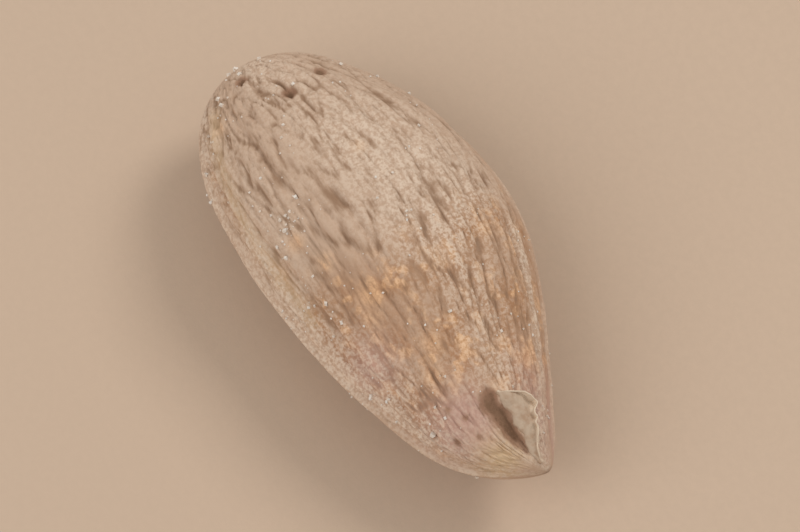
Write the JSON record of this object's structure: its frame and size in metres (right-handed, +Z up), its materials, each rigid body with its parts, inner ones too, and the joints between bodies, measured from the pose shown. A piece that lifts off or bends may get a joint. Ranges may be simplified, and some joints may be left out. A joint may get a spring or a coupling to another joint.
{
  "type": "almond kernel",
  "caption": "Whole almond kernel in its ridged brown skin, with a rounded end, a pointed end and a seam round its edge.",
  "frame": {"origin": "on the surface that the kernel rests on, under the middle of its bounding box", "axes": "+X from the round end to the point, +Y towards the side with the rounder edge, +Z up through the two broad faces"},
  "size_m": [0.0244, 0.0122, 0.0081],
  "materials": {
    "almond_skin": "dry, matt brown seed skin with a pale salt bloom on its ridges"
  },
  "bodies": {
    "root": {"almond": "almond_skin"}
  },
  "joints": []
}
